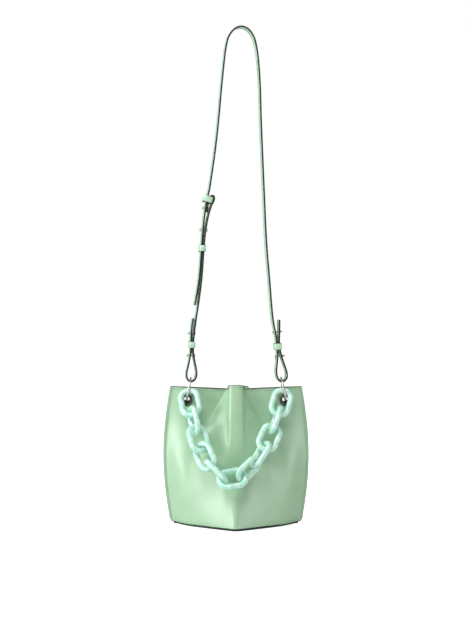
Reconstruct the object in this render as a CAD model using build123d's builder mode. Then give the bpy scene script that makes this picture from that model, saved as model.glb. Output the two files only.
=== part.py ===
from build123d import *
import os
from math import cos, cosh, pi, radians, sin, sqrt

os.makedirs("parts", exist_ok=True)

# ---- body: two origami-folded panels on a diamond base ----
RIM_H = 196.0  # height of the folded ridge at the rim
SEAM_HALF_W = 91.0  # side seams, from the middle of the bag
SIDE_SWELL = 10.0  # how far the sides swell at mid height
FOOT_TAPER = 4.0  # the seams draw in to the base corners
FOOT_TAPER_H = 9.0
NOSE_BASE_Y = 68.5  # reach of the front corner at the base
NOSE_RIM_Y = 25.0  # reach of the ridge at the rim
FOLD_START = 78.0  # height where the fold has died out
FOLD_FULL = 186.0
VALLEY_X = 11.0  # valleys beside the ridge, at the rim
VALLEY_SPREAD = 0.56  # they run outwards going down
VALLEY_Y = 5.6
RIM_BULGE = 6.0
SIDE_BOW = 3.0
RIDGE_HALF_W = 10.4
BACK_RIDGE_LEAN = 7.0  # the back ridge leans to one side
BACK_RIDGE_DROP = 3.4  # and stands lower at the rim
RIDGE_BASE_HALF_W = 15.0  # control width of the front corner, below the fold
RIDGE_ROUND = 8.0  # how far the ridge's shoulders stand back from its front
SEAM_HALF_T = 1.65  # one panel's outer face from the seam line
SEAM_FLANGE = 5.0
LEATHER_T = 1.5
VALLEY_FAN_DROP = 6.0  # the valleys start to spread this far below the ridge's top
VALLEY_LIMIT = 0.62  # and stop at this share of the half width
VALLEY_ROUND = 1.5
SIDE_SHARES = (0.33, 0.67)  # where the side face's bow is shaped
FLANK_UNDERCUT = 0.4
FLANK_BOW = 0.6
RIDGE_FULLNESS = 0.5
RIDGE_CROWN = 1.5
RIDGE_INNER = 0.55
SECTION_STEPS = 48
PLATE_STEPS = 60
HALVINGS = 40  # steps of each search by halving
# heights of the walls' plan sections: closer together where they fold
LEVELS = [2.3] + [14.0 * i for i in range(1, 7)]
LEVELS += [94.0 + 10.0 * i for i in range(4)]
LEVELS += [131.0 + 7.0 * i for i in range(11)]

# ---- rings through the eyelets ----
RING_R = 16.3  # to the middle of the wire
RING_WIRE_R = 1.6
RING_X = 66.2
RING_Y = -3.4
RING_Z = 189.7
RING_LEAN = 11.0  # degrees; the tops lean in towards the straps
RING_YAW = 1.0  # degrees

# ---- chain of oval links ----
LINK_BAR_R = 4.0
LINK_L = 35.4  # between the middles of the end bars
LINK_W = 23.5
LINK_CORNER_R = 10.4
LINK_GAP = 0.4  # between touching bars
CHAIN_X = 67.0  # end bars that hang in the rings
CHAIN_Y = -13.5
CHAIN_Z = 187.4
CHAIN_PITCH = 23.5  # degrees the chain's plane leans out from vertical
CHAIN_SKEW = 27.0  # the left side hangs lower
CHAIN_SLOPE = 0.75  # how V-shaped the hang is
HANG_CURVE = 2.4
SAG_RANGE = (40.0, 200.0)
CHAIN_ROUNDS = 8  # passes that settle the links' offsets
EDGE_ON_SHARE = 0.05  # how little a link seen edge-on shifts its neighbour
LINK_ROLLS = (8, 72, -22, 36, 98, -10, 64, 122, 4, 102, 5)  # degrees about each link's length

# ---- rim ----
RIM_CORNER_Z = 193.0
RIM_VALLEY_Z = 189.5
RIM_RIDGE_Z = 196.0
RIDGE_SHOULDER_DROP = 1.2
RIDGE_SHOULDER_IN = 0.6
BACK_VALLEY_SHIFT = 0.3  # how much of the back ridge's lean its valley follows
TRIM_REACH = 120.0  # half the size of the block that trims the rim

# ---- layers, as depths below the outer face ----
FACING = (1.9, 2.9)
FACING_BOTTOM = 152.0
LINING = (1.9, 2.5)
POCKET = (3.1, 3.7)
POCKET_BOTTOM = 42.0
POCKET_TOP = 124.0
POCKET_SPAN = (0.24, 0.44)  # along the back wall, from its left seam
LAYER_GAP = 0.1
LAYER_START = 0.152  # inner layers stop short of the side seams
LAYER_SPAN = (LAYER_START, 1 - LAYER_START)
LAYER_OVER = 4.0  # facings are trimmed down to the rim from this far above it
LEVEL_GAP = 2.0

# ---- base ----
BASE_T = 2.2
BASE_LIP = 0.7
BOARD_T = 1.6
BASE_LINING_T = 0.6
BASE_INSET = 2.9

# ---- eyelets ----
EYELET_X = 69.0
EYELET_FRONT_Z = 174.4
EYELET_BACK_Z = 177.6
EYELET_R = 8.7
EYELET_BORE_R = 5.0
EYELET_BARREL_R = 5.5
EYELET_FLANGE_T = 1.1
EYELET_LIFT = 0.3
WASHER_R = 7.5
WASHER_T = 0.8
EYELET_DEPTH = 4.3
EYELET_CLEAR = 0.2
HOLE_BELOW = 8.0  # an eyelet's hole is cut from this far inside the wall
HOLE_L = 12.0
PRESS_GAP = 0.05  # between pressed-together metal parts

# ---- magnetic snaps in the valleys ----
SNAP_X = 13.0
SNAP_Z = 181.0
SNAP_R = 5.5
SNAP_T = 2.2

# ---- straps; paths are the middle of the leather in the XZ plane ----
STRAP_T = 2.3
STRAP_W = 14.5
STRAP_YAW = 9.0  # degrees
STRAP_Y = RING_Y
STRAP_STEPS = 5  # points between two of a path's own
LONG_STRAP = (
    (59.8, 286.5), (59.6, 267), (59.6, 253), (61.6, 239), (65.4, 227), (69.9, 213), (69.5, 204.3),
    (63.7, 199.9), (57.6, 204.6), (55.5, 214), (56.8, 230), (57.0, 241), (56.4, 250), (55.2, 262),
    (50.4, 288), (46.2, 337), (41.6, 393), (38.0, 470), (34.2, 561), (31.6, 632), (26.0, 675),
    (17.0, 691), (6.0, 695.4), (-4.6, 690.5), (-12.9, 676), (-19.0, 632), (-27.6, 542), (-37.6, 470),
    (-41.8, 452), (-44.0, 437), (-46.0, 421), (-47.6, 403), (-48.8, 385), (-51.4, 350), (-54.8, 326),
    (-58.2, 307),
)
SHORT_STRAP = (
    (-60.6, 288.5), (-62.3, 277), (-63.4, 262), (-63.4, 251), (-64.6, 237), (-67.4, 222), (-69.6, 212),
    (-68.4, 203.6), (-63.3, 199.9), (-57.6, 203.8), (-55.7, 212), (-57.6, 224), (-60.0, 238), (-60.6, 251),
    (-59.2, 266), (-56.8, 286), (-53.4, 308), (-50.6, 328), (-48.2, 350), (-45.8, 385), (-44.0, 405),
    (-41.6, 421), (-38.8, 434), (-35.4, 445), (-31.6, 453), (-31.8, 458.6), (-36.6, 458.4), (-39.6, 449),
    (-41.2, 437),
)

# ---- keepers: middle on the path, direction of the straps there, inside width ----
KEEPER_H = 9.0
KEEPER_T = 1.5
KEEPER_CLEAR = 1.1
KEEPERS = (
    ("keeper_right_lower", (57.9, 249.0), (-0.04, 1.0), 7.6),
    ("keeper_left_lower", (-62.0, 251.5), (0.0, 1.0), 6.2),
    ("keeper_left_middle", (-47.2, 386.0), (0.06, 1.0), 5.9),
    ("keeper_left_upper", (-39.7, 454.4), (0.36, 1.0), 9.2),
)

# ---- studs: middle, half the clamped thickness, tilt in degrees, side of the ball ----
STUD_BALL_R = 1.7
STUD_NECK_R = 0.9
STUD_BARREL_R = 1.3
STUD_BORE_R = 0.8
STUD_FLANGE_R = 2.3
STUD_FLANGE_T = 0.6
STUD_NECK_L = 1.6
SCREW_R = 0.72
SCREW_HEAD_R = 2.4
SCREW_HEAD_T = 0.7
SCREW_END_GAP = 0.4
STUDS = (
    ((56.6, 269.5), 4.9, 3.0, 1),
    ((60.0, 235.0), 5.0, 9.0, 1),
    ((-61.1, 267.5), 3.8, -3.0, -1),
    ((-62.4, 236.0), 4.6, -3.0, -1),
    ((-44.9, 411.5), 4.2, -4.0, -1),
    ((-41.7, 441.8), 3.4, -6.0, -1),
)


def smooth(t):
    t = min(max(t, 0.0), 1.0)
    return t * t * (3 - 2 * t)


def mix(a, b, t):
    return a + (b - a) * t


def half_width(z):
    """Side seam from the middle of the bag at height z."""
    foot = max(0.0, 1 - z / FOOT_TAPER_H)
    return SEAM_HALF_W + SIDE_SWELL * sin(pi * z / RIM_H) - FOOT_TAPER * foot**2


def half_controls(z, lean=0.0):
    """Control points of half a panel's plan section, seam to ridge; x from the middle, y outwards."""
    w = half_width(z)
    n = mix(NOSE_BASE_Y, NOSE_RIM_Y, z / RIM_H)
    fold = smooth((z - FOLD_START) / (FOLD_FULL - FOLD_START))
    valley_x = min(VALLEY_X + VALLEY_SPREAD * max(RIM_RIDGE_Z - VALLEY_FAN_DROP - z, 0), VALLEY_LIMIT * w)
    slope = n / w
    valley_y = mix(slope * (w - valley_x) + SIDE_BOW, VALLEY_Y, fold)
    bow = mix(SIDE_BOW, RIM_BULGE, fold)
    start = w - SEAM_FLANGE
    ridge = mix(RIDGE_BASE_HALF_W, RIDGE_HALF_W, fold)
    points = [(w, SEAM_HALF_T), (w - SEAM_FLANGE / 2, SEAM_HALF_T), (start, SEAM_HALF_T)]
    for t in SIDE_SHARES:
        points.append((mix(start, valley_x, t), mix(SEAM_HALF_T, valley_y, t) + bow))
    points.append((valley_x + VALLEY_ROUND * fold, valley_y))
    flank_x = mix((valley_x + ridge) / 2, valley_x - FLANK_UNDERCUT, fold)
    flank_y = slope * (w - flank_x) + SIDE_BOW * FLANK_BOW
    points.append((flank_x, mix(flank_y, valley_y + VALLEY_ROUND, fold)))
    points.append((ridge, mix(slope * (w - ridge) + RIDGE_FULLNESS, n - RIDGE_ROUND, fold)))
    inner_y = mix(slope * (w - ridge * RIDGE_INNER), n + RIDGE_FULLNESS, fold)
    points.append((ridge * mix(RIDGE_INNER, 1.0, fold), inner_y))
    points.append((0.0, mix(n, n + RIDGE_CROWN, fold)))
    shift = lean * fold
    weights = (0, 0, 0, 0, 0, 0, 0.2, 0.9, 1, 1)
    return points, [shift * k for k in weights]


def section_controls(z, lean):
    half, shifts = half_controls(z, lean)
    left = [(-x + s, -y) for (x, y), s in zip(half, shifts)]
    right = [(x + s, -y) for (x, y), s in zip(half[:-1], shifts[:-1])]
    return left + right[::-1]


def section_point(u, z, lean=0.0, depth=0.0):
    """Point of the front wall's section, u from 0 (left seam) to 1 (right seam), depth below the face."""
    controls = section_controls(z, lean)
    padded = [controls[0]] * 2 + controls + [controls[-1]] * 2
    spans = len(padded) - 3
    t = min(u * spans, spans - 1e-9)
    k = int(t)
    t -= k
    rising = (-3 * t**3 + 3 * t**2 + 3 * t + 1) / 6
    basis = ((1 - t) ** 3 / 6, (3 * t**3 - 6 * t**2 + 4) / 6, rising, t**3 / 6)
    slopes = (-((1 - t) ** 2) / 2, (3 * t * t - 4 * t) / 2, (-3 * t * t + 2 * t + 1) / 2, t * t / 2)
    x = sum(b * p[0] for b, p in zip(basis, padded[k : k + 4]))
    y = sum(b * p[1] for b, p in zip(basis, padded[k : k + 4]))
    dx = sum(b * p[0] for b, p in zip(slopes, padded[k : k + 4]))
    dy = sum(b * p[1] for b, p in zip(slopes, padded[k : k + 4]))
    if abs(dx) < 1e-6:
        dx, dy = 1.0, 0.0  # the seam's edges lie along X
    length = sqrt(dx * dx + dy * dy)
    return x - depth * dy / length, y + depth * dx / length


def wall_point(u, z, depth=0.0, back=False):
    x, y = section_point(u, z, BACK_RIDGE_LEAN if back else 0.0, depth)
    return (x, -y if back else y)


def hang(x, sag):
    """Depth of the chain's line below its ends, in the chain's own plane."""
    s = x / CHAIN_X
    drop = mix(1 - s * s, (cosh(HANG_CURVE) - cosh(HANG_CURVE * s)) / (cosh(HANG_CURVE) - 1), CHAIN_SLOPE)
    return sag * drop - CHAIN_SKEW * s * (1 - s * s)


def chain_points(sag, offsets):
    """Walk along the hanging line, link by link; returns contact points and the distance left over."""
    x, points = -CHAIN_X, [(-CHAIN_X, 0.0)]
    for dx, dh in offsets:
        here = points[-1]
        lo, hi = x, x + LINK_L
        for _ in range(HALVINGS):
            mid = (lo + hi) / 2
            reach = sqrt((mid - here[0] + dx) ** 2 + (hang(mid, sag) - here[1] + dh) ** 2)
            lo, hi = (mid, hi) if reach < LINK_L else (lo, mid)
        x = lo
        points.append((x, hang(x, sag)))
    return points, x - CHAIN_X


def unit(x, y):
    length = sqrt(x * x + y * y)
    return (x / length, y / length)


def chain_layout():
    """Contact points, link centres and directions in the chain's plane, sagging so that the chain closes."""
    count = len(LINK_ROLLS)
    reach = LINK_BAR_R + LINK_GAP / 2
    flat = [cos(radians(roll)) ** 2 + EDGE_ON_SHARE for roll in LINK_ROLLS]
    steps = [(0.0, 0.0)] * (count + 1)
    for _ in range(CHAIN_ROUNDS):
        offsets = [(steps[i][0] + steps[i + 1][0], steps[i][1] + steps[i + 1][1]) for i in range(count)]
        lo, hi = SAG_RANGE
        for _ in range(HALVINGS):
            sag = (lo + hi) / 2
            points, over = chain_points(sag, offsets)
            lo, hi = (sag, hi) if over > 0 else (lo, sag)
        heads = []
        for a, b, (dx, dh) in zip(points, points[1:], offsets):
            heads.append(unit(b[0] - a[0] + dx, b[1] - a[1] + dh))
        for i in range(1, count):
            k, m = flat[i - 1], flat[i]
            s = unit(k * heads[i - 1][0] + m * heads[i][0], k * heads[i - 1][1] + m * heads[i][1])
            steps[i] = (reach * s[0], reach * s[1])
    centres = []
    for a, (sx, sh), (tx, th) in zip(points, steps, heads):
        centres.append((a[0] - sx + tx * LINK_L / 2, a[1] - sh + th * LINK_L / 2))
    return points, centres, heads


def chain_to_row(x, h):
    """Point of the chain's plane in the row's frame."""
    lean = radians(CHAIN_PITCH)
    return (x, CHAIN_Y - h * sin(lean), CHAIN_Z - h * cos(lean))


def wall_layer(depths, levels, u_range, back=False):
    """Loft one layer of a wall between two depths, through plan sections at the given heights."""
    lo, hi = u_range
    us = [mix(lo, hi, i / SECTION_STEPS) for i in range(SECTION_STEPS + 1)]
    sections = []
    for z in levels:
        outer = [wall_point(u, z, depths[0], back) for u in us]
        inner = [wall_point(u, z, depths[1], back) for u in reversed(us)]
        with BuildSketch(Plane.XY.offset(z)) as section:
            with BuildLine():
                Spline(*outer)
                Line(outer[-1], inner[0])
                Spline(*inner)
                Line(inner[-1], outer[0])
            make_face()
        sections.append(section.sketch)
    loft(sections)


def trim_rim(back=False):
    """Cut the wall to the rim's dips and rises."""
    side = BACK_RIDGE_LEAN if back else 0.0
    top = RIM_RIDGE_Z - (BACK_RIDGE_DROP if back else 0.0)
    shoulder = (RIDGE_HALF_W - RIDGE_SHOULDER_IN, top - RIDGE_SHOULDER_DROP)
    foot = VALLEY_X + 1
    reach = TRIM_REACH
    with BuildSketch(Plane.XZ.offset(-reach)) as above:
        with BuildLine():
            left = [(-reach, RIM_CORNER_Z), (-SEAM_HALF_W, RIM_CORNER_Z), (-foot, RIM_VALLEY_Z)]
            rise = [(side - shoulder[0], shoulder[1]), (side, top)]
            fall = [(side + shoulder[0], shoulder[1]), (foot + side * BACK_VALLEY_SHIFT, RIM_VALLEY_Z)]
            right = [(SEAM_HALF_W, RIM_CORNER_Z), (reach, RIM_CORNER_Z)]
            right += [(reach, 2 * reach), (-reach, 2 * reach)]
            Polyline(*left, *rise, *fall, *right, close=True)
        make_face()
    extrude(above.sketch, amount=2 * reach, mode=Mode.SUBTRACT)


def wall_plane(x, z, back=False):
    """Plane on the outer face of a wall at a given x and height, its Z pointing out of the bag."""
    lo, hi = 0.02, 0.98
    for _ in range(HALVINGS):
        mid = (lo + hi) / 2
        lo, hi = (mid, hi) if wall_point(mid, z, 0, back)[0] < x else (lo, mid)
    here = wall_point(lo, z, 0, back)
    beside = wall_point(lo + 0.002, z, 0, back)
    above = wall_point(lo, z + 2, 0, back)
    along = Vector(beside[0] - here[0], beside[1] - here[1], 0).normalized()
    up = Vector(above[0] - here[0], above[1] - here[1], 2).normalized()
    out = along.cross(up) if not back else up.cross(along)
    return Plane(origin=(here[0], here[1], z), x_dir=along, z_dir=out)


def eyelet_planes():
    planes = []
    for sign in (-1, 1):
        planes.append(wall_plane(sign * EYELET_X, EYELET_FRONT_Z))
        planes.append(wall_plane(sign * EYELET_X, EYELET_BACK_Z, True))
    return planes


def eyelet_holes(back):
    """Clear the eyelets' barrels through the wall just made."""
    for plane in eyelet_planes()[1 if back else 0 :: 2]:
        with BuildSketch(plane.offset(-HOLE_BELOW)) as hole:
            Circle(EYELET_BARREL_R + EYELET_CLEAR)
        extrude(hole.sketch, amount=HOLE_L, mode=Mode.SUBTRACT)


def levels_between(low, high):
    return [low] + [z for z in LEVELS if low + LEVEL_GAP < z < high - LEVEL_GAP] + [high]


def plate(z, thickness, depth, u_lo=0.0):
    """Flat plate filling the walls' plan outline at a depth inside the outer face."""
    us = [mix(u_lo, 1 - u_lo, i / PLATE_STEPS) for i in range(PLATE_STEPS + 1)]
    front = [wall_point(u, z, depth) for u in us]
    rear = [wall_point(u, z, depth, True) for u in reversed(us)]
    with BuildSketch(Plane.XY.offset(z)) as shape:
        with BuildLine():
            Spline(*front)
            Line(front[-1], rear[0])
            Spline(*rear)
            Line(rear[-1], front[0])
        make_face()
    extrude(shape.sketch, amount=thickness)


def ring_plane(side):
    """Plane of a ring, its Z along the ring's own axis."""
    lean, yaw = radians(RING_LEAN), radians(RING_YAW)
    up = Vector(-side * sin(lean), 0, cos(lean))
    ahead = Vector(sin(yaw), -cos(yaw), 0)
    axis = up.cross(ahead).normalized()
    return Plane(origin=(side * RING_X, RING_Y, RING_Z), x_dir=up, z_dir=axis)


def link_plane(centre, head, roll):
    """Plane of a link: X along its length, Y across it."""
    lean, turn = radians(CHAIN_PITCH), radians(roll)
    down = Vector(0, -sin(lean), -cos(lean))
    out = Vector(0, -cos(lean), sin(lean))
    along = Vector(head[0], 0, 0) + down * head[1]
    across = Vector(head[1], 0, 0) - down * head[0]
    across = across * cos(turn) + out * sin(turn)
    return Plane(origin=chain_to_row(*centre), x_dir=along, z_dir=along.cross(across))


def strap_dir():
    yaw = radians(STRAP_YAW)
    return Vector(-sin(yaw), cos(yaw), 0)


def ribbon(path):
    """Strap of even thickness along a path in the XZ plane, its width along the yawed direction."""
    line = Spline(*[(x, STRAP_Y, z) for x, z in path], mode=Mode.PRIVATE)
    steps = STRAP_STEPS * len(path)
    sides = ([], [])
    for i in range(steps + 1):
        point, head = line.position_at(i / steps), line.tangent_at(i / steps)
        for points, shift in zip(sides, (STRAP_T / 2, -STRAP_T / 2)):
            points.append(point + Vector(head.Z, 0, -head.X) * shift)
    start = strap_dir() * (-STRAP_W / 2)
    near = [p + start for p in sides[0]]
    far = [p + start for p in reversed(sides[1])]
    with BuildLine() as edge:
        Spline(*near)
        Line(near[-1], far[0])
        Spline(*far)
        Line(far[-1], near[0])
    face = Face(Wire(edge.edges()))
    extrude(face, amount=STRAP_W, dir=strap_dir())


def stud_plane(spot, tilt, side):
    """Plane at the middle of a stud, its Z towards the ball."""
    yaw, rise = radians(STRAP_YAW), radians(tilt)
    out = Vector(cos(yaw) * cos(rise), sin(yaw) * cos(rise), sin(rise)) * side
    return Plane(origin=(spot[0], STRAP_Y, spot[1]), z_dir=out)


# ---- walls ----
with BuildPart() as front_panel:
    wall_layer((0.0, LEATHER_T), LEVELS, (0.0, 1.0))
    trim_rim()
    eyelet_holes(False)
front_panel.part.label = "front_panel"
export_step(front_panel.part, "parts/front_panel.step")

with BuildPart() as back_panel:
    wall_layer((0.0, LEATHER_T), LEVELS, (0.0, 1.0), True)
    trim_rim(True)
    eyelet_holes(True)
back_panel.part.label = "back_panel"
export_step(back_panel.part, "parts/back_panel.step")

LAYERS = (
    ("front_facing", FACING, FACING_BOTTOM, RIM_RIDGE_Z + LAYER_OVER, LAYER_SPAN, False),
    ("back_facing", FACING, FACING_BOTTOM, RIM_RIDGE_Z + LAYER_OVER, LAYER_SPAN, True),
    ("front_lining", LINING, BASE_T + LAYER_GAP, FACING_BOTTOM - LAYER_GAP, LAYER_SPAN, False),
    ("back_lining", LINING, BASE_T + LAYER_GAP, FACING_BOTTOM - LAYER_GAP, LAYER_SPAN, True),
    ("inner_pocket", POCKET, POCKET_BOTTOM, POCKET_TOP, POCKET_SPAN, True),
)
for name, depths, low, high, reach, rear in LAYERS:
    with BuildPart() as layer:
        wall_layer(depths, levels_between(low, high), reach, rear)
        if high > RIM_RIDGE_Z:
            trim_rim(rear)
            eyelet_holes(rear)
    layer.part.label = name
    export_step(layer.part, f"parts/{name}.step")

# ---- base ----
with BuildPart() as base_panel:
    plate(0, BASE_T, -BASE_LIP)
base_panel.part.label = "base_panel"
export_step(base_panel.part, "parts/base_panel.step")

with BuildPart() as base_board:
    plate(BASE_T + LAYER_GAP, BOARD_T, BASE_INSET, LAYER_START)
base_board.part.label = "base_board"
export_step(base_board.part, "parts/base_board.step")

with BuildPart() as base_lining:
    plate(BASE_T + BOARD_T + 2 * LAYER_GAP, BASE_LINING_T, BASE_INSET, LAYER_START)
base_lining.part.label = "base_lining"
export_step(base_lining.part, "parts/base_lining.step")

# ---- magnetic snaps ----
for name, y in (("snap_socket", -SNAP_T - PRESS_GAP), ("snap_stud", PRESS_GAP)):
    with BuildPart() as snap:
        for x in (-SNAP_X, SNAP_X):
            with BuildSketch(Plane(origin=(x, y, SNAP_Z), z_dir=(0, 1, 0))):
                Circle(SNAP_R)
            extrude(amount=SNAP_T)
    snap.part.label = name
    export_step(snap.part, f"parts/{name}.step")

# ---- eyelets ----
with BuildPart() as eyelets:
    for plane in eyelet_planes():
        with BuildSketch(plane.offset(EYELET_LIFT)) as flange:
            Circle(EYELET_R)
            Circle(EYELET_BORE_R, mode=Mode.SUBTRACT)
        extrude(flange.sketch, amount=EYELET_FLANGE_T)
        with BuildSketch(plane.offset(EYELET_LIFT)) as barrel:
            Circle(EYELET_BARREL_R)
            Circle(EYELET_BORE_R, mode=Mode.SUBTRACT)
        extrude(barrel.sketch, amount=-EYELET_DEPTH - EYELET_LIFT)
eyelets.part.label = "eyelets"
export_step(eyelets.part, "parts/eyelets.step")

with BuildPart() as eyelet_washers:
    for plane in eyelet_planes():
        with BuildSketch(plane.offset(-EYELET_DEPTH)) as washer:
            Circle(WASHER_R)
            Circle(EYELET_BARREL_R + PRESS_GAP, mode=Mode.SUBTRACT)
        extrude(washer.sketch, amount=WASHER_T)
eyelet_washers.part.label = "eyelet_washers"
export_step(eyelet_washers.part, "parts/eyelet_washers.step")

# ---- rings ----
for name, side in (("left_ring", -1), ("right_ring", 1)):
    with BuildPart() as ring:
        with Locations(ring_plane(side)):
            Torus(RING_R, RING_WIRE_R)
    ring.part.label = name
    export_step(ring.part, f"parts/{name}.step")

# ---- chain links ----
contacts, centres, heads = chain_layout()
for number, (centre, head, roll) in enumerate(zip(centres, heads, LINK_ROLLS), 1):
    with BuildPart() as link:
        with BuildSketch(link_plane(centre, head, roll), mode=Mode.PRIVATE) as oval:
            RectangleRounded(LINK_L, LINK_W, LINK_CORNER_R)
        path = oval.sketch.faces()[0].outer_wire()
        with BuildSketch(Plane(origin=path @ 0, z_dir=path % 0)) as bar:
            Circle(LINK_BAR_R)
        sweep(bar.sketch, path=path)
    link.part.label = f"link_{number:02d}"
    export_step(link.part, f"parts/link_{number:02d}.step")

# ---- straps ----
for name, path in (("long_strap", LONG_STRAP), ("short_strap", SHORT_STRAP)):
    with BuildPart() as strap:
        ribbon(path)
    strap.part.label = name
    export_step(strap.part, f"parts/{name}.step")

# ---- keepers ----
for name, spot, head, inside in KEEPERS:
    with BuildPart() as keeper:
        along = Vector(head[0], 0, head[1]).normalized()
        out = strap_dir().cross(along)
        start = Vector(spot[0], STRAP_Y, spot[1]) - along * (KEEPER_H / 2)
        with BuildSketch(Plane(origin=start, x_dir=out, z_dir=along)) as band:
            Rectangle(inside + 2 * KEEPER_T, STRAP_W + 2 * KEEPER_CLEAR + 2 * KEEPER_T)
            Rectangle(inside, STRAP_W + 2 * KEEPER_CLEAR, mode=Mode.SUBTRACT)
        extrude(band.sketch, amount=KEEPER_H)
    keeper.part.label = name
    export_step(keeper.part, f"parts/{name}.step")

# ---- studs ----
with BuildPart() as stud_knobs:
    for spot, half, tilt, side in STUDS:
        seat = stud_plane(spot, tilt, side).offset(half + PRESS_GAP)
        with BuildSketch(seat) as flange:
            Circle(STUD_FLANGE_R)
            Circle(STUD_BORE_R, mode=Mode.SUBTRACT)
        extrude(flange.sketch, amount=STUD_FLANGE_T)
        with BuildSketch(seat) as barrel:
            Circle(STUD_BARREL_R)
            Circle(STUD_BORE_R, mode=Mode.SUBTRACT)
        extrude(barrel.sketch, amount=-2 * half)
        with BuildSketch(seat.offset(STUD_FLANGE_T)) as neck:
            Circle(STUD_NECK_R)
        extrude(neck.sketch, amount=STUD_NECK_L)
        with Locations(seat.offset(STUD_FLANGE_T + STUD_NECK_L)):
            Sphere(STUD_BALL_R)
stud_knobs.part.label = "stud_knobs"
export_step(stud_knobs.part, "parts/stud_knobs.step")

with BuildPart() as stud_screws:
    for spot, half, tilt, side in STUDS:
        seat = stud_plane(spot, tilt, side).offset(-half - PRESS_GAP)
        with BuildSketch(seat) as head:
            Circle(SCREW_HEAD_R)
        extrude(head.sketch, amount=-SCREW_HEAD_T)
        with BuildSketch(seat) as shank:
            Circle(SCREW_R)
        extrude(shank.sketch, amount=2 * half - SCREW_END_GAP)
stud_screws.part.label = "stud_screws"
export_step(stud_screws.part, "parts/stud_screws.step")
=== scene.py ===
from math import cos, pi, radians, sin, sqrt

import bmesh
import bpy
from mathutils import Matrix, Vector, noise


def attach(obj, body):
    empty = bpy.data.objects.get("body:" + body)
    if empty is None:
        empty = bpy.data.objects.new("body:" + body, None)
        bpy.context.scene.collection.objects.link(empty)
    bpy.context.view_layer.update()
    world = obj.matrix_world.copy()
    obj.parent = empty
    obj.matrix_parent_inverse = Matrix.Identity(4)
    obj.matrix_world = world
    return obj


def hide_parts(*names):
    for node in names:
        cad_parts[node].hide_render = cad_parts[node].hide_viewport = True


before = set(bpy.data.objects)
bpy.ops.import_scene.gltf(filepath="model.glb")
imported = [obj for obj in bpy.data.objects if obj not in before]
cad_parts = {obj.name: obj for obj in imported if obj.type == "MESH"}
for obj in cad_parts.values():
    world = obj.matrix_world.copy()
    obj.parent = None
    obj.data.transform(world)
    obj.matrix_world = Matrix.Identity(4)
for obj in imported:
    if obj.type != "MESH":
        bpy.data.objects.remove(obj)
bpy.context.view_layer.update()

MM = 0.001

# ---- body, in millimetres, as in the CAD model ----
RIM_H = 196.0
SEAM_HALF_W = 91.0
SIDE_SWELL = 10.0
FOOT_TAPER = 4.0
FOOT_TAPER_H = 9.0
NOSE_BASE_Y = 68.5
NOSE_RIM_Y = 25.0
FOLD_START = 78.0
FOLD_FULL = 186.0
CREST_START = 62.0  # the ridge's own edges run lower down the front than its valleys
CREST_FULL = 138.0
VALLEY_X = 11.0
VALLEY_SPREAD = 0.56
VALLEY_Y = 5.6
VALLEY_FAN_DROP = 6.0  # the valleys start to spread this far below the ridge's top
VALLEY_LIMIT = 0.62  # and stop at this share of the half width
VALLEY_ROUND = 1.5
RIM_BULGE = 6.0
SIDE_BOW = 3.0
SIDE_SHARES = (0.33, 0.67)  # where the side face's bow is shaped
FLANK_UNDERCUT = 0.4
FLANK_BOW = 0.6
RIDGE_HALF_W = 10.4
RIDGE_BASE_HALF_W = 15.0
RIDGE_ROUND = 8.0
RIDGE_FULLNESS = 0.5
RIDGE_CROWN = 1.5
RIDGE_INNER = 0.55
RIDGE_SHOULDER_DROP = 1.2
RIDGE_SHOULDER_W = 2.2
LEAN_SHARES = (0, 0, 0, 0, 0, 0, 0.2, 0.9, 1, 1)  # how far each control point follows a leaning ridge
WORN_FROM = 2.0  # the leather rounds off the front corner from this height up
WORN_H = 75.0
WORN_DEPTHS = (1.0, 3.0, 6.0)  # at the ridge's edge, inside it and at its middle
BACK_RIDGE_LEAN = 7.0
BACK_RIDGE_DROP = 3.4
SEAM_HALF_T = 1.65
SEAM_FLANGE = 5.0
LEATHER_T = 1.5
RIM_CORNER_Z = 193.0
RIM_VALLEY_Z = 189.5
RIM_RIDGE_Z = 196.0
RIM_SAMPLE_Z = 194.0  # the plan section that gives the rim's height along the wall
FACING = (1.9, 2.9)
FACING_BOTTOM = 152.0
LINING = (1.9, 2.5)
POCKET = (3.1, 3.7)
BASE_T = 2.2
BASE_LIP = 0.7
SOLE_LIFT = 2.0
LAYER_START = 0.152
POCKET_BOTTOM = 42.0
POCKET_TOP = 124.0
POCKET_SPAN = (0.24, 0.44)  # along the back wall, from its left seam
EYELET_X = 69.0
EYELET_FRONT_Z = 174.4  # where the eyelets' axes cross the leaning walls
EYELET_BACK_Z = 177.6
EYELET_HOLE_R = 5.9
HOLE_L = 60.0
LAYER_GAP = 0.1

# ---- straps, in millimetres: each path is (x, z), from one end to the other ----
STRAP_T = 2.3
STRAP_W = 14.5
STRAP_Y = -3.4
STRAP_YAW = 9.0
STRAP_CORNER = 0.75
STRAP_STITCH_INSET = 2.2
STRAP_STITCH_R = 0.22
LONG_STRAP = (
    (59.8, 286.5), (59.6, 267), (59.6, 253), (61.6, 239), (65.4, 227), (69.9, 213), (69.5, 204.3),
    (63.7, 199.9), (57.6, 204.6), (55.5, 214), (56.8, 230), (57.0, 241), (56.4, 250), (55.2, 262),
    (50.4, 288), (46.2, 337), (41.6, 393), (38.0, 470), (34.2, 561), (31.6, 632), (26.0, 675),
    (17.0, 691), (6.0, 695.4), (-4.6, 690.5), (-12.9, 676), (-19.0, 632), (-27.6, 542), (-37.6, 470),
    (-41.8, 452), (-44.0, 437), (-46.0, 421), (-47.6, 403), (-48.8, 385), (-51.4, 350), (-54.8, 326),
    (-58.2, 307),
)
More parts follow.
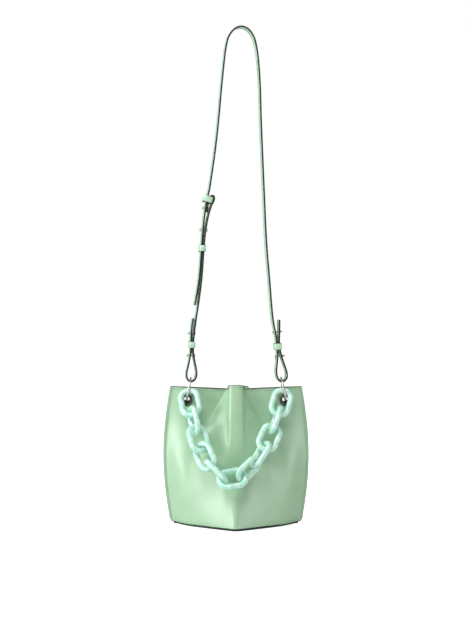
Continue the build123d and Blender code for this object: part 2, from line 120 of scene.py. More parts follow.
SHORT_STRAP = (
    (-60.6, 288.5), (-62.3, 277), (-63.4, 262), (-63.4, 251), (-64.6, 237), (-67.4, 222), (-69.6, 212),
    (-68.4, 203.6), (-63.3, 199.9), (-57.6, 203.8), (-55.7, 212), (-57.6, 224), (-60.0, 238), (-60.6, 251),
    (-59.2, 266), (-56.8, 286), (-53.4, 308), (-50.6, 328), (-48.2, 350), (-45.8, 385), (-44.0, 405),
    (-41.6, 421), (-38.8, 434), (-35.4, 445), (-31.6, 453), (-31.8, 458.6), (-36.6, 458.4), (-39.6, 449),
    (-41.2, 437),
)
KEEPER_H = 9.0
KEEPER_T = 1.5
KEEPER_CLEAR = 1.1
KEEPER_CORNER = 1.3
KEEPERS = (  # name, middle, direction of the straps there, inside width
    ("keeper_right_lower", (57.9, 249.0), (-0.04, 1.0), 7.6),
    ("keeper_left_lower", (-62.0, 251.5), (0.0, 1.0), 6.2),
    ("keeper_left_middle", (-47.2, 386.0), (0.06, 1.0), 5.9),
    ("keeper_left_upper", (-39.7, 454.4), (0.36, 1.0), 9.2),
)
STITCH_PITCH = 3.2
STITCH_L = 2.2
STITCH_R = 0.36
STITCH_SLANT = 0.10
RIM_STITCH_DROP = 3.0
SEAM_STITCH_INSET = 2.3
RIM_BEAD_R = 0.8
SEAM_BEAD_R = 0.85


def smooth(t):
    t = min(max(t, 0.0), 1.0)
    return t * t * (3 - 2 * t)


def mix(a, b, t):
    return a + (b - a) * t


# ---- materials ----
def new_material(name):
    material = bpy.data.materials.new(name)
    material.use_nodes = True
    tree = material.node_tree
    return material, tree, tree.nodes["Principled BSDF"]


def coordinates(tree, scale=(1, 1, 1)):
    source = tree.nodes.new("ShaderNodeTexCoord")
    mapping = tree.nodes.new("ShaderNodeMapping")
    mapping.inputs["Scale"].default_value = scale
    tree.links.new(source.outputs["Object"], mapping.inputs["Vector"])
    return mapping.outputs["Vector"]


def noise_node(tree, vector, scale, detail=3.0, rough=0.5, distortion=0.0):
    node = tree.nodes.new("ShaderNodeTexNoise")
    node.inputs["Scale"].default_value = scale
    node.inputs["Detail"].default_value = detail
    node.inputs["Roughness"].default_value = rough
    node.inputs["Distortion"].default_value = distortion
    tree.links.new(vector, node.inputs["Vector"])
    return node.outputs["Fac"]


def ramp(tree, value, stops):
    node = tree.nodes.new("ShaderNodeValToRGB")
    elements = node.color_ramp.elements
    while len(elements) < len(stops):
        elements.new(0.5)
    for element, (place, colour) in zip(elements, stops):
        element.position = place
        element.color = (*colour, 1)
    tree.links.new(value, node.inputs["Fac"])
    return node.outputs["Color"]


def add_bump(tree, shader, height, strength, distance, below=None):
    node = tree.nodes.new("ShaderNodeBump")
    node.inputs["Strength"].default_value = strength
    node.inputs["Distance"].default_value = distance
    tree.links.new(height, node.inputs["Height"])
    if below:
        tree.links.new(below, node.inputs["Normal"])
    tree.links.new(node.outputs["Normal"], shader.inputs["Normal"])
    return node.outputs["Normal"]


def leather(name, dark, light, rough=0.33, grain=0.06):
    """Smooth satin leather: mottled colour, fine pebbled grain and soft undulation."""
    material, tree, shader = new_material(name)
    at = coordinates(tree)
    mottle = noise_node(tree, at, 28, 4, 0.55)
    colour = ramp(tree, mottle, ((0.3, dark), (0.7, light)))
    tree.links.new(colour, shader.inputs["Base Color"])
    cells = tree.nodes.new("ShaderNodeTexVoronoi")
    cells.inputs["Scale"].default_value = 1500
    tree.links.new(at, cells.inputs["Vector"])
    low = add_bump(tree, shader, noise_node(tree, at, 45, 2), 0.25, 0.0012)
    add_bump(tree, shader, cells.outputs["Distance"], grain, 0.0002, low)
    gloss = tree.nodes.new("ShaderNodeMapRange")
    gloss.inputs["To Min"].default_value = rough - 0.05
    gloss.inputs["To Max"].default_value = rough + 0.07
    tree.links.new(noise_node(tree, at, 90, 3), gloss.inputs["Value"])
    tree.links.new(gloss.outputs["Result"], shader.inputs["Roughness"])
    shader.inputs["Specular IOR Level"].default_value = 0.9
    shader.inputs["Coat Weight"].default_value = 0.35
    shader.inputs["Coat Roughness"].default_value = 0.28
    return material


def edge_paint(name, colour):
    """Painted cut edge: thick, slightly uneven, half matt."""
    material, tree, shader = new_material(name)
    at = coordinates(tree)
    lighter = tuple(min(1.0, c * 1.7 + 0.01) for c in colour)
    shade = ramp(tree, noise_node(tree, at, 160, 4), ((0.35, colour), (0.8, lighter)))
    tree.links.new(shade, shader.inputs["Base Color"])
    shader.inputs["Roughness"].default_value = 0.55
    shader.inputs["Specular IOR Level"].default_value = 0.3
    add_bump(tree, shader, noise_node(tree, at, 700, 3), 0.25, 0.0003)
    return material


def twill(name, dark, light):
    """Woven lining cloth: two crossed sets of threads."""
    material, tree, shader = new_material(name)
    at = coordinates(tree, (1, 1, 1))
    weave = None
    for direction in ("X", "Z"):
        wave = tree.nodes.new("ShaderNodeTexWave")
        wave.bands_direction = direction
        wave.inputs["Scale"].default_value = 420
        wave.inputs["Distortion"].default_value = 0.6
        tree.links.new(at, wave.inputs["Vector"])
        if weave is None:
            weave = wave.outputs["Fac"]
            continue
        both = tree.nodes.new("ShaderNodeMath")
        both.operation = "MULTIPLY"
        tree.links.new(weave, both.inputs[0])
        tree.links.new(wave.outputs["Fac"], both.inputs[1])
        weave = both.outputs["Value"]
    tree.links.new(ramp(tree, weave, ((0.0, dark), (0.8, light))), shader.inputs["Base Color"])
    shader.inputs["Roughness"].default_value = 0.85
    shader.inputs["Sheen Weight"].default_value = 0.3
    add_bump(tree, shader, weave, 0.5, 0.0003)
    return material


def thread(name, dark, light):
    """Twisted sewing thread."""
    material, tree, shader = new_material(name)
    at = coordinates(tree)
    wave = tree.nodes.new("ShaderNodeTexWave")
    wave.bands_direction = "DIAGONAL"
    wave.inputs["Scale"].default_value = 900
    tree.links.new(at, wave.inputs["Vector"])
    tree.links.new(ramp(tree, wave.outputs["Fac"], ((0.1, dark), (0.9, light))), shader.inputs["Base Color"])
    shader.inputs["Roughness"].default_value = 0.6
    shader.inputs["Sheen Weight"].default_value = 0.4
    add_bump(tree, shader, wave.outputs["Fac"], 0.4, 0.0001)
    return material


def polished_metal(name, colour, rough=0.12):
    """Polished plating with faint scratches and clouding."""
    material, tree, shader = new_material(name)
    at = coordinates(tree)
    shader.inputs["Metallic"].default_value = 1.0
    darker = tuple(c * 0.82 for c in colour)
    shade = ramp(tree, noise_node(tree, at, 60, 4), ((0.3, darker), (0.65, colour)))
    tree.links.new(shade, shader.inputs["Base Color"])
    wear = tree.nodes.new("ShaderNodeMapRange")
    wear.inputs["To Min"].default_value = rough * 0.6
    wear.inputs["To Max"].default_value = rough * 1.8
    tree.links.new(noise_node(tree, at, 240, 5, 0.7), wear.inputs["Value"])
    tree.links.new(wear.outputs["Result"], shader.inputs["Roughness"])
    streaks = coordinates(tree, (60, 900, 900))
    add_bump(tree, shader, noise_node(tree, streaks, 2, 2), 0.05, 0.0001)
    return material


ACRYLIC_BODY = (
    (0.30, (0.34, 0.70, 0.55)),
    (0.46, (0.47, 0.80, 0.66)),
    (0.57, (0.62, 0.87, 0.76)),
    (0.68, (0.88, 0.96, 0.92)),
)
ACRYLIC_VEINS = ((0.47, (1, 1, 1)), (0.5, (0.80, 0.93, 0.88)), (0.53, (1, 1, 1)))


def marbled_acrylic(name):
    """Cast acrylic: mint body, milky swirls and thin darker veins, under a polished surface."""
    material, tree, shader = new_material(name)
    at = coordinates(tree)
    swirl = noise_node(tree, at, 55, 5, 0.6, 2.2)
    body = ramp(tree, swirl, ACRYLIC_BODY)
    veins = ramp(tree, noise_node(tree, at, 120, 3, 0.5, 3.0), ACRYLIC_VEINS)
    both = tree.nodes.new("ShaderNodeMixRGB")
    both.blend_type = "MULTIPLY"
    both.inputs["Fac"].default_value = 0.8
    tree.links.new(body, both.inputs["Color1"])
    tree.links.new(veins, both.inputs["Color2"])
    tree.links.new(both.outputs["Color"], shader.inputs["Base Color"])
    shader.inputs["Roughness"].default_value = 0.22
    shader.inputs["Subsurface Weight"].default_value = 0.15
    shader.inputs["Subsurface Radius"].default_value = (0.6, 1.0, 0.8)
    shader.inputs["Subsurface Scale"].default_value = 0.004
    shader.inputs["Coat Weight"].default_value = 0.6
    shader.inputs["Coat Roughness"].default_value = 0.06
    add_bump(tree, shader, noise_node(tree, at, 130, 2), 0.12, 0.0008)
    return material


MINT_DARK = (0.322, 0.530, 0.328)
MINT_LIGHT = (0.358, 0.576, 0.368)
LEATHER = leather("mint leather", MINT_DARK, MINT_LIGHT)
STRAP_LEATHER = leather("strap leather", (0.42, 0.66, 0.46), (0.50, 0.73, 0.54), 0.45)
FACING_LEATHER = leather("facing leather", (0.30, 0.50, 0.31), (0.34, 0.56, 0.36), 0.5)
DARK_EDGE = edge_paint("dark edge paint", (0.010, 0.011, 0.009))
SEAM_EDGE = edge_paint("seam edge paint", (0.19, 0.26, 0.19))
LINING_CLOTH = twill("lining twill", (0.20, 0.24, 0.20), (0.42, 0.46, 0.40))
BOARD = edge_paint("base board", (0.05, 0.05, 0.05))
THREAD = thread("mint thread", (0.06, 0.16, 0.08), (0.16, 0.31, 0.18))
METAL = polished_metal("polished metal", (0.72, 0.70, 0.68), 0.09)
# the eyelets' metal is darkened to paint in dark reflections and the shade round their bores
METAL_DARKENED_AS_PAINTED_REFLECTION = polished_metal("metal darkened as painted reflection", (0.22, 0.21, 0.20), 0.14)
ACRYLIC = marbled_acrylic("marbled acrylic")


# ---- shape of the walls ----
def half_width(z):
    foot = max(0.0, 1 - z / FOOT_TAPER_H)
    return SEAM_HALF_W + SIDE_SWELL * sin(pi * z / RIM_H) - FOOT_TAPER * foot**2


def section_controls(z, lean):
    """Control points of a wall's plan section at height z, left seam to right seam."""
    w = half_width(z)
    n = mix(NOSE_BASE_Y, NOSE_RIM_Y, z / RIM_H)
    fold = smooth((z - FOLD_START) / (FOLD_FULL - FOLD_START))
    crest = smooth((z - CREST_START) / (CREST_FULL - CREST_START))
    valley_x = min(VALLEY_X + VALLEY_SPREAD * max(RIM_RIDGE_Z - VALLEY_FAN_DROP - z, 0), VALLEY_LIMIT * w)
    slope = n / w
    valley_y = mix(slope * (w - valley_x) + SIDE_BOW, VALLEY_Y, fold)
    bow = mix(SIDE_BOW, RIM_BULGE, fold)
    start = w - SEAM_FLANGE
    ridge = mix(RIDGE_BASE_HALF_W, RIDGE_HALF_W, crest)
    worn = smooth((z - WORN_FROM) / WORN_H) * (1 - fold)
    edge_worn, inner_worn, middle_worn = (depth * worn for depth in WORN_DEPTHS)
    edge_worn = mix(edge_worn, inner_worn, crest)
    points = [(w, SEAM_HALF_T), (w - SEAM_FLANGE / 2, SEAM_HALF_T), (start, SEAM_HALF_T)]
    for t in SIDE_SHARES:
        points.append((mix(start, valley_x, t), mix(SEAM_HALF_T, valley_y, t) + bow))
    points.append((valley_x + VALLEY_ROUND * fold, valley_y))
    flank_x = mix((valley_x + ridge) / 2, valley_x - FLANK_UNDERCUT, fold)
    flank_y = slope * (w - flank_x) + SIDE_BOW * FLANK_BOW
    points.append((flank_x, mix(flank_y, valley_y + VALLEY_ROUND, fold)))
    edge_y = mix(slope * (w - ridge) + RIDGE_FULLNESS, n - RIDGE_ROUND, crest)
    points.append((ridge, edge_y - edge_worn))
    inner = ridge * mix(RIDGE_INNER, 1.0, crest)
    points.append((inner, mix(slope * (w - inner), n + RIDGE_FULLNESS, fold) - inner_worn))
    points.append((0.0, n + RIDGE_CROWN * fold - middle_worn))
    shifts = [lean * fold * share for share in LEAN_SHARES]
    left = [(-x + s, -y) for (x, y), s in zip(points, shifts)]
    right = [(x + s, -y) for (x, y), s in zip(points[:-1], shifts[:-1])]
    return left + right[::-1]


def section_line(z, us, lean):
    """Points and outward normals of a wall's section, for each u from 0 (left seam) to 1 (right seam)."""
    controls = section_controls(z, lean)
    padded = [controls[0]] * 2 + controls + [controls[-1]] * 2
    spans = len(padded) - 3
    line = []
    for u in us:
        t = min(u * spans, spans - 1e-9)
        k = int(t)
        t -= k
        rising = (-3 * t**3 + 3 * t**2 + 3 * t + 1) / 6
        basis = ((1 - t) ** 3 / 6, (3 * t**3 - 6 * t**2 + 4) / 6, rising, t**3 / 6)
        slopes = (-((1 - t) ** 2) / 2, (3 * t * t - 4 * t) / 2, (-3 * t * t + 2 * t + 1) / 2, t * t / 2)
        near = padded[k : k + 4]
        x, y = (sum(b * p[i] for b, p in zip(basis, near)) for i in (0, 1))
        dx, dy = (sum(b * p[i] for b, p in zip(slopes, near)) for i in (0, 1))
        if abs(dx) < 1e-6:
            dx, dy = 1.0, 0.0
        length = sqrt(dx * dx + dy * dy)
        line.append((x, y, dy / length, -dx / length))
    return line


def rim_height(x, lean):
    """Height of the cut rim at x: corners, valleys and the risen ridge."""
    top = RIM_RIDGE_Z - (BACK_RIDGE_DROP if lean else 0.0)
    foot = VALLEY_X + 1.0
    side = min(max((abs(x) - foot) / (SEAM_HALF_W - foot), 0.0), 1.0)
    low = mix(RIM_VALLEY_Z, RIM_CORNER_Z, side)
    off = abs(x - lean)
    shoulder = RIDGE_HALF_W + 0.4
    rise = top - RIDGE_SHOULDER_DROP * (off / shoulder) ** 2
    return mix(rise, low, smooth((off - shoulder) / RIDGE_SHOULDER_W + 0.3))


def softness(x, z, back):
    """How far worn, hand-shaped leather stands off its clean folded shape."""
    seed = 40.0 if back else 0.0
    side = min(1.0, (half_width(z) - abs(x)) / 22.0)
    middle = min(1.0, abs(x) / 24.0)
    low = min(1.0, z / 30.0)
    # long soft waves, a finer unevenness, and a tight pucker along the base seam
    wave = noise.noise(Vector((x * 0.022 + seed, z * 0.018, 3.1)))
    fine = noise.noise(Vector((x * 0.07 + seed, z * 0.05, 7.7)))
    pucker = 0.12 * sin(x * 1.15) * max(0.0, 1 - z / 10.0)
    return (0.9 * wave + 0.25 * fine) * max(side, 0.0) * (0.3 + 0.7 * middle) * low + pucker


def sole_lift(x, z):
    """The base's side corners curl slightly off the ground."""
    return SOLE_LIFT * min(1.0, abs(x) / 87.0) ** 2.5 * max(0.0, 1 - z / 40.0)


def wall_grid(us, rows, depth, low, high, back, rim):
    """Rows of points (in millimetres) over a wall at a depth inside its face, up to the rim or to high."""
    lean = BACK_RIDGE_LEAN if back else 0.0
    tops = [rim_height(p[0], lean) if rim else high for p in section_line(min(high, RIM_SAMPLE_Z), us, lean)]
    grid = []
    for j in range(rows + 1):
        share = j / rows
        row = []
        for i, u in enumerate(us):
            z = mix(low, tops[i], share)
            x, y, nx, ny = section_line(z, [u], lean)[0]
            off = softness(x, z, back) - depth
            row.append(Vector((x + nx * off, (y + ny * off) * (-1 if back else 1), z + sole_lift(x, z))))
        grid.append(row)
    return grid


def mesh_object(name, verts, faces, materials, indices=None):
    """Smooth-shaded mesh from points in millimetres."""
    mesh = bpy.data.meshes.new(name)
    mesh.from_pydata([tuple(v * MM) for v in verts], [], faces)
    for material in materials:
        mesh.materials.append(material)
    if indices:
        mesh.polygons.foreach_set("material_index", indices)
    mesh.polygons.foreach_set("use_smooth", [True] * len(faces))
    mesh.update()
    obj = bpy.data.objects.new(name, mesh)
    bpy.context.scene.collection.objects.link(obj)
    return obj


def fix_normals(obj):
    cage = bmesh.new()
    cage.from_mesh(obj.data)
    bmesh.ops.recalc_face_normals(cage, faces=cage.faces)
    cage.to_mesh(obj.data)
    cage.free()


def shell(name, outer, inner, materials):
    """Closed sheet between two grids; material 0 on its faces, 1 on its cut edges."""
    rows, cols = len(outer), len(outer[0])
    verts = [p for grid in (outer, inner) for row in grid for p in row]
    size = rows * cols
    faces, indices = [], []
    for j in range(rows - 1):
        for i in range(cols - 1):
            a = j * cols + i
            quad = (a, a + 1, a + cols + 1, a + cols)
            faces.append(quad)
            faces.append(tuple(v + size for v in reversed(quad)))
            indices += [0, 0]
    border = [(0, i) for i in range(cols)] + [(j, cols - 1) for j in range(1, rows)]
    border += [(rows - 1, i) for i in range(cols - 2, -1, -1)] + [(j, 0) for j in range(rows - 2, 0, -1)]
    ids = [j * cols + i for j, i in border]
    for a, b in zip(ids, ids[1:] + ids[:1]):
        faces.append((b, a, a + size, b + size))
        indices.append(1)
    obj = mesh_object(name, verts, faces, materials, indices)
    fix_normals(obj)
    return obj


def tube(name, points, radius, material):
    """Bead of round section along a line of points."""
    sides = 8
    verts, faces = [], []
    for k, p in enumerate(points):
        ahead = points[min(k + 1, len(points) - 1)] - points[max(k - 1, 0)]
        head = ahead.normalized()
        side = head.cross(Vector((0, 0, 1)) if abs(head.z) < 0.9 else Vector((0, 1, 0))).normalized()
        up = side.cross(head)
        for s in range(sides):
            turn = 2 * pi * s / sides
            verts.append(p + side * (cos(turn) * radius) + up * (sin(turn) * radius))
        if k:
            for s in range(sides):
                a, b = (k - 1) * sides + s, (k - 1) * sides + (s + 1) % sides
                faces.append((a, b, b + sides, a + sides))
    faces.append(tuple(range(sides - 1, -1, -1)))
    last = (len(points) - 1) * sides
    faces.append(tuple(last + s for s in range(sides)))
    return mesh_object(name, verts, faces, [material])


# along a stitch's length: place, share of its radius, and how far it rises out of the leather
STITCH_RINGS = ((-0.5, 0.35, -0.5), (-0.34, 0.9, 0.1), (0.0, 1.0, 0.35), (0.34, 0.9, 0.1), (0.5, 0.35, -0.5))


def stitches(name, points, outs, material, radius=STITCH_R):
    """A row of short thread stitches lying on a line of points, each slightly sunk into the leather."""
    verts, faces = [], []
    run, due = 0.0, STITCH_PITCH / 2
    for k in range(1, len(points)):
        step = points[k] - points[k - 1]
        while run + step.length >= due:
            share = (due - run) / step.length
            middle = points[k - 1].lerp(points[k], share)
            out = outs[k - 1].lerp(outs[k], share).normalized()
            head = step.normalized()
            head = (head + out.cross(head) * STITCH_SLANT).normalized()
            side = out.cross(head).normalized()
            first = len(verts)
            for t, r, rise in STITCH_RINGS:
                for s in range(6):
                    turn = pi * s / 3
                    ring = side * (cos(turn) * radius * r) + out * (sin(turn) * radius * r + rise * radius)
                    verts.append(middle + head * (t * STITCH_L) + ring)
            for ring in range(4):
                for s in range(6):
                    a, b = first + ring * 6 + s, first + ring * 6 + (s + 1) % 6
                    faces.append((a, b, b + 6, a + 6))
            faces.append(tuple(first + s for s in range(5, -1, -1)))
            faces.append(tuple(first + 24 + s for s in range(6)))
            due += STITCH_PITCH
        run += step.length
    return mesh_object(name, verts, faces, [material])


def keep(obj, body, *nodes):
    """Fix a finished piece to its CAD body, in place of the CAD nodes it stands for."""
    if nodes:
        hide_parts(*nodes)
    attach(obj, body)
    return obj


# ---- walls ----
def spread(start, count):
    """Even u values over a wall, from start to the same distance before its far seam."""
    return [mix(start, 1 - start, i / count) for i in range(count + 1)]


def eyelet_hole_cutter(name, centre, radius):
    """Hidden cylinder along Y that clears an eyelet's barrel through the walls."""
    bpy.ops.mesh.primitive_cylinder_add(radius=radius * MM, depth=HOLE_L * MM, vertices=48)
    cutter = bpy.context.object
    cutter.name = name
    cutter.rotation_euler = (pi / 2, 0, 0)
    cutter.location = centre
    return cutter


def cut_holes(obj, back):
    """Punch the two eyelet holes of one wall."""
    y, z = (HOLE_L / 2, EYELET_BACK_Z) if back else (-HOLE_L / 2, EYELET_FRONT_Z)
    for side in (-1, 1):
        cutter = eyelet_hole_cutter("cutter", Vector((side * EYELET_X, y, z)) * MM, EYELET_HOLE_R)
        bpy.context.view_layer.update()
        hole = obj.modifiers.new("eyelet hole", "BOOLEAN")
        hole.operation = "DIFFERENCE"
        hole.object = cutter
        hole.solver = "EXACT"
        bpy.context.view_layer.objects.active = obj
        bpy.ops.object.modifier_apply(modifier=hole.name)
        bpy.data.objects.remove(cutter)


def build_wall(back):
    side = "back" if back else "front"
    cols, rows = ((260, 150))
    us = spread(0.0, cols)
    outer = wall_grid(us, rows, 0.0, BASE_T + LAYER_GAP, RIM_H, back, True)
    inner = wall_grid(us, rows, LEATHER_T, BASE_T + LAYER_GAP, RIM_H, back, True)
    panel = shell(f"{side}_leather", outer, inner, [LEATHER, SEAM_EDGE])
    cut_holes(panel, back)
    keep(panel, "bag", f"{side}_panel")

    inside = spread(LAYER_START, cols // 2)
    facing = shell(
        f"{side}_facing_leather",
        wall_grid(inside, rows // 5, FACING[0], FACING_BOTTOM, RIM_H, back, True),
        wall_grid(inside, rows // 5, FACING[1], FACING_BOTTOM, RIM_H, back, True),
        [FACING_LEATHER, DARK_EDGE],
    )
    cut_holes(facing, back)
    keep(facing, "bag", f"{side}_facing")
    cloth = shell(
        f"{side}_lining_cloth",
        wall_grid(inside, rows // 3, LINING[0], BASE_T + LAYER_GAP, FACING_BOTTOM - LAYER_GAP, back, False),
        wall_grid(inside, rows // 3, LINING[1], BASE_T + LAYER_GAP, FACING_BOTTOM - LAYER_GAP, back, False),
        [LINING_CLOTH, LINING_CLOTH],
    )
    keep(cloth, "bag", f"{side}_lining")

    out = Vector((0, 1 if back else -1, 0))
    # the painted bead runs along the middle of the leather's cut edge, a little below its top
    bead_line = [p + out * 0.05 - Vector((0, 0, 0.25)) - out * 0.75 for p in outer[-1]]
    bead = tube(f"{side}_rim_paint", bead_line, RIM_BEAD_R, DARK_EDGE)
    keep(bead, "bag")

    # stitch rows: below the rim and inside both side seams
    step = (outer[-1][0] - outer[-2][0]).length
    down = max(1, round(RIM_STITCH_DROP / step))
    row, above = outer[-1 - down], outer[-down]
    inset = 4
    rim_line = row[inset:-inset]
    rim_outs = []
    for i in range(inset, len(row) - inset):
        along = row[i + 1] - row[i - 1]
        up = above[i] - row[i]
        face = along.cross(up) * (-1 if back else 1)
        rim_outs.append(face.normalized())
    keep(stitches(f"{side}_rim_stitches", rim_line, rim_outs, THREAD), "bag")
    for i, place in ((0, "left"), (-1, "right")):
        edge = [grid_row[i] for grid_row in outer[:-down]]
        inward = Vector((1 if i == 0 else -1, 0, 0))
        line = [p + inward * SEAM_STITCH_INSET for p in edge]
        keep(stitches(f"{side}_{place}_seam_stitches", line, [out] * len(line), THREAD), "bag")
    return outer


front_grid = build_wall(False)
back_grid = build_wall(True)

# seam edges: one thin painted bead down each side, over both cut edges
for i, place in ((0, "left"), (-1, "right")):
    line = [(a[i] + b[i]) / 2 for a, b in zip(front_grid, back_grid)]
    bead = tube(f"{place}_seam_paint", line, SEAM_BEAD_R, SEAM_EDGE)
    keep(bead, "bag")

# inner pocket
POCKET_COLS = 40
POCKET_ROWS = 24
pocket_us = [mix(*POCKET_SPAN, i / POCKET_COLS) for i in range(POCKET_COLS + 1)]
pocket = shell(
    "inner_pocket_cloth",
    wall_grid(pocket_us, POCKET_ROWS, POCKET[0], POCKET_BOTTOM, POCKET_TOP, True, False),
    wall_grid(pocket_us, POCKET_ROWS, POCKET[1], POCKET_BOTTOM, POCKET_TOP, True, False),
    [LINING_CLOTH, DARK_EDGE],
)
keep(pocket, "bag", "inner_pocket")


# ---- base ----
def base_outline(count, inset, z):
    """Closed line round the base: front wall left to right, then back wall right to left."""
    us = [i / count for i in range(count + 1)]
    front = [(x - nx * inset, y - ny * inset) for x, y, nx, ny in section_line(z, us, 0.0)]
    return front + [(x, -y) for x, y in reversed(front)]


def slab(name, count, levels, materials):
    """Plate following the base outline, built from rings at (height, inset) levels."""
    verts, faces, indices = [], [], []
    ring = 2 * count + 2
    for z, inset in levels:
        for x, y in base_outline(count, inset, 0.0):
            verts.append(Vector((x, y, z + sole_lift(x, z))))
    for k in range(len(levels) - 1):
        for i in range(ring):
            a, b = k * ring + i, k * ring + (i + 1) % ring
            faces.append((a, b, b + ring, a + ring))
            indices.append(1)
    for first in (0, (len(levels) - 1) * ring):
        for i in range(count):
            faces.append((first + i, first + i + 1, first + ring - 2 - i, first + ring - 1 - i))
            indices.append(0)
    obj = mesh_object(name, verts, faces, materials, indices)
    fix_normals(obj)
    return obj


BASE_STEPS = 120
SOLE_LEVELS = ((0.05, 0.2), (0.25, -0.1), (1.2, -0.3), (2.4, -0.2), (3.0, 0.3))  # height, inset from the lip
CLOTH_LEVELS = ((4.1, 3.2), (4.4, 3.0), (4.7, 3.2))
sole = slab("base_leather", BASE_STEPS, [(z, i - BASE_LIP) for z, i in SOLE_LEVELS], [LEATHER, DARK_EDGE])
keep(sole, "bag", "base_panel")
floor_cloth = slab("base_cloth", BASE_STEPS, CLOTH_LEVELS, [LINING_CLOTH, LINING_CLOTH])
keep(floor_cloth, "bag", "base_lining")


# ---- straps ----
def spline(points, per_span):
    """Smooth run of (x, z) points through the given ones."""
    run = []
    for k in range(len(points) - 1):
        p0, p1 = points[max(k - 1, 0)], points[k]
        p2, p3 = points[k + 1], points[min(k + 2, len(points) - 1)]
        gap = sqrt((p2[0] - p1[0]) ** 2 + (p2[1] - p1[1]) ** 2)
        back = sqrt((p1[0] - p0[0]) ** 2 + (p1[1] - p0[1]) ** 2) or gap
        ahead = sqrt((p3[0] - p2[0]) ** 2 + (p3[1] - p2[1]) ** 2) or gap
        starts = [(p2[i] - p0[i]) * gap / (gap + back) for i in (0, 1)]
        ends = [(p3[i] - p1[i]) * gap / (gap + ahead) for i in (0, 1)]
        for n in range(per_span):
            t = n / per_span
            h00, h10 = 2 * t**3 - 3 * t**2 + 1, t**3 - 2 * t**2 + t
            h01, h11 = -2 * t**3 + 3 * t**2, t**3 - t**2
            run.append(tuple(h00 * p1[i] + h10 * starts[i] + h01 * p2[i] + h11 * ends[i] for i in (0, 1)))
    run.append(points[-1])
    return run


# rounded strap section: the corner each point belongs to, and its direction from the corner's centre
STRAP_SECTION = []
for quarter, (sign_w, sign_t) in enumerate(((1, -1), (1, 1), (-1, 1), (-1, -1))):
    for k in range(4):
        turn = (2 * quarter - 1) * pi / 4 + (k / 3 - 0.5) * pi / 2
        STRAP_SECTION.append((sign_w, sign_t, cos(turn), sin(turn)))
FLAT_SIDES = (7, 15)  # the section's two long sides; the rest is painted edge


def strap_across():
    """Direction across the straps' width, turned slightly from straight back."""
    return Vector((-sin(radians(STRAP_YAW)), cos(radians(STRAP_YAW)), 0))


def strap(name, path, node):
    """Leather ribbon with rounded painted edges and two stitch rows near its edges."""
    line = spline(path, 6)
    across = strap_across()
    verts, faces, indices = [], [], []
    ring = len(STRAP_SECTION)
    half_w, half_t = STRAP_W / 2, STRAP_T / 2
    spots, outs = [], []
    for k, (x, z) in enumerate(line):
        a, b = line[max(k - 1, 0)], line[min(k + 1, len(line) - 1)]
        head = Vector((b[0] - a[0], 0, b[1] - a[1])).normalized()
        out = Vector((head.z, 0, -head.x))
        spot = Vector((x, STRAP_Y, z))
        spots.append(spot)
        outs.append(out)
        for sw, st, cx, cz in STRAP_SECTION:
            w = sw * (half_w - STRAP_CORNER) + cx * STRAP_CORNER
            t = st * (half_t - STRAP_CORNER) + cz * STRAP_CORNER
            verts.append(spot + across * w + out * t)
        if k:
            for s in range(ring):
                p, q = (k - 1) * ring + s, (k - 1) * ring + (s + 1) % ring
                faces.append((p, q, q + ring, p + ring))
                indices.append(0 if s in FLAT_SIDES else 1)
    faces.append(tuple(range(ring - 1, -1, -1)))
    faces.append(tuple(range((len(line) - 1) * ring, len(line) * ring)))
    indices += [1, 1]
    obj = mesh_object(name, verts, faces, [STRAP_LEATHER, DARK_EDGE], indices)
    fix_normals(obj)
    keep(obj, "strap", node)
    for side, label in ((-1, "inside"), (1, "outside")):
        for row, place in ((-1, "front"), (1, "back")):
            aside = across * (row * (half_w - STRAP_STITCH_INSET))
            points = [p + aside + o * (side * half_t) for p, o in zip(spots, outs)]
            faces_out = [o * side for o in outs]
            title = f"{name}_{label}_{place}_stitches"
            keep(stitches(title, points, faces_out, THREAD, STRAP_STITCH_R), "strap")


strap("long_strap_leather", LONG_STRAP, "long_strap")
strap("short_strap_leather", SHORT_STRAP, "short_strap")


# ---- keepers ----
def keeper(name, spot, head, inside):
    """Narrow leather loop round the strap: mint face, dark painted edges, rounded corners."""
    across = strap_across()
    along = Vector((head[0], 0, head[1])).normalized()
    out = across.cross(along).normalized()
    half_out = inside / 2 - KEEPER_CORNER
    half_w = STRAP_W / 2 + KEEPER_CLEAR - KEEPER_CORNER
    around = []
    for quarter, (sx, sy) in enumerate(((1, 1), (-1, 1), (-1, -1), (1, -1))):
        for k in range(7):
            turn = (quarter + k / 6) * pi / 2
            around.append((sx * half_out, sy * half_w, cos(turn), sin(turn)))
    # half of the band's own section, as height and depth: from its inside, round its edge, to its outside
    half = KEEPER_H / 2
    lower = [(0.35 - half, 0.0), (-half, 0.4), (-half, 1.1), (0.4 - half, KEEPER_T)]
    profile = lower + [(-h, depth) for h, depth in reversed(lower)]
    verts, faces, indices = [], [], []
    centre = Vector((spot[0], STRAP_Y, spot[1]))
    size = len(around)
    for h, depth in profile:
        for x, y, cx, cy in around:
            reach = KEEPER_CORNER + depth
            verts.append(centre + along * h + out * (x + cx * reach) + across * (y + cy * reach))
    rings = len(profile)
    for k in range(rings):
        for s in range(size):
            a, b = k * size + s, k * size + (s + 1) % size
            c, d = ((k + 1) % rings) * size + (s + 1) % size, ((k + 1) % rings) * size + s
            faces.append((a, b, c, d))
            indices.append(0 if k in (3, 7) else 1)  # the outside and the inside are not painted
    obj = mesh_object(f"{name}_leather", verts, faces, [STRAP_LEATHER, DARK_EDGE], indices)
    fix_normals(obj)
    keep(obj, name, name)


for entry in KEEPERS:
    keeper(*entry)


# ---- carried-over pieces ----
def dress(node, material):
    """Give a CAD piece its finished material."""
    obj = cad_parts[node]
    obj.data.materials.clear()
    obj.data.materials.append(material)
    for polygon in obj.data.polygons:
        polygon.material_index = 0


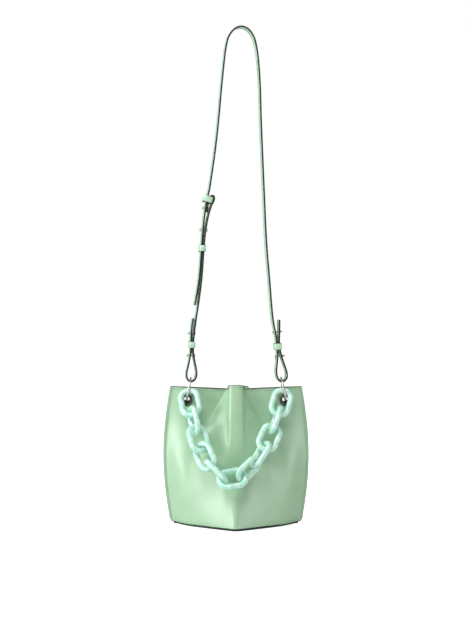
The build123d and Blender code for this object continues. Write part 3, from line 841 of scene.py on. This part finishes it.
for node in ("snap_socket", "snap_stud", "left_ring", "right_ring", "stud_knobs", "stud_screws"):
    dress(node, METAL)
# eyelets and washers: metal darkened as painted dark reflection and shade
for node in ("eyelets", "eyelet_washers"):
    dress(node, METAL_DARKENED_AS_PAINTED_REFLECTION)
for k in range(1, 12):
    dress(f"link_{k:02d}", ACRYLIC)
dress("base_board", BOARD)


# ---- studio ----
def camera_only(tree, seen, unseen):
    """Value that is one thing to the camera and another to the light falling on the object."""
    path = tree.nodes.new("ShaderNodeLightPath")
    pick = tree.nodes.new("ShaderNodeMapRange")
    pick.inputs["To Min"].default_value = unseen
    pick.inputs["To Max"].default_value = seen
    tree.links.new(path.outputs["Is Camera Ray"], pick.inputs["Value"])
    return pick.outputs["Result"]


FLOOR_GLOW = 0.8


def studio_floor():
    """Pale sweep that burns out to white and keeps only the contact shadow."""
    material, tree, shader = new_material("floor")
    shader.inputs["Base Color"].default_value = (0.82, 0.82, 0.82, 1)
    shader.inputs["Roughness"].default_value = 1.0
    shader.inputs["Specular IOR Level"].default_value = 0.0
    shader.inputs["Emission Color"].default_value = (1, 1, 1, 1)
    tree.links.new(camera_only(tree, FLOOR_GLOW, 0.0), shader.inputs["Emission Strength"])
    bpy.ops.mesh.primitive_plane_add(size=60, location=(0, 0, -0.0005))
    ground = bpy.context.object
    ground.name = "studio_floor"
    ground.data.materials.append(material)


def area_light(name, place, aim, size, power, size_y):
    """Soft rectangular light, in metres, turned to its aim."""
    data = bpy.data.lights.new(name, "AREA")
    data.shape = "RECTANGLE"
    data.size = size
    data.size_y = size_y
    data.energy = power
    lamp = bpy.data.objects.new(name, data)
    bpy.context.scene.collection.objects.link(lamp)
    lamp.location = place
    lamp.rotation_euler = (Vector(aim) - Vector(place)).to_track_quat("-Z", "Y").to_euler()


studio_floor()
area_light("left_softbox", (-1.36, -0.52, 0.78), (0, 0, 0.12), 0.9, 12.5, 0.95)
area_light("left_card", (-1.28, -0.76, 0.17), (0, 0, 0.08), 0.55, 3.2, 0.3)
area_light("right_card", (1.25, -0.80, 0.17), (0, 0, 0.08), 0.5, 1.7, 0.3)
area_light("overhead", (-0.35, -1.0, 1.45), (0, 0, 0.12), 1.0, 11.5, 0.8)
area_light("back_rim", (0.5, 1.3, 0.9), (0, 0, 0.12), 0.8, 5, 0.8)

world = bpy.data.worlds.new("studio")
world.use_nodes = True
sky_tree = world.node_tree
sky = sky_tree.nodes["Background"]
sky.inputs["Color"].default_value = (1, 1, 1, 1)
facing_way = sky_tree.nodes.new("ShaderNodeTexCoord")
split = sky_tree.nodes.new("ShaderNodeSeparateXYZ")
sky_tree.links.new(facing_way.outputs["Generated"], split.inputs["Vector"])
room = sky_tree.nodes.new("ShaderNodeMapRange")
room.interpolation_type = "SMOOTHSTEP"
room.inputs["From Min"].default_value = -0.95
room.inputs["From Max"].default_value = -0.55
room.inputs["To Min"].default_value = 0.3
room.inputs["To Max"].default_value = 0.44
sky_tree.links.new(split.outputs["Y"], room.inputs["Value"])
seen = camera_only(sky_tree, 1.0, 0.0)
brightest = sky_tree.nodes.new("ShaderNodeMath")
brightest.operation = "MAXIMUM"
sky_tree.links.new(seen, brightest.inputs[0])
sky_tree.links.new(room.outputs["Result"], brightest.inputs[1])
sky_tree.links.new(brightest.outputs["Value"], sky.inputs["Strength"])
bpy.context.scene.world = world
bpy.context.scene.view_settings.view_transform = "Standard"

# ---- camera: level, straight from the front ----
CAMERA_ANGLE = 24.87
CAMERA_PLACE = (0, -2.0, 0.293)
camera_data = bpy.data.cameras.new("camera")
camera_data.angle = radians(CAMERA_ANGLE)
camera = bpy.data.objects.new("camera", camera_data)
bpy.context.scene.collection.objects.link(camera)
camera.location = CAMERA_PLACE
camera.rotation_euler = (pi / 2, 0, 0)
bpy.context.scene.camera = camera
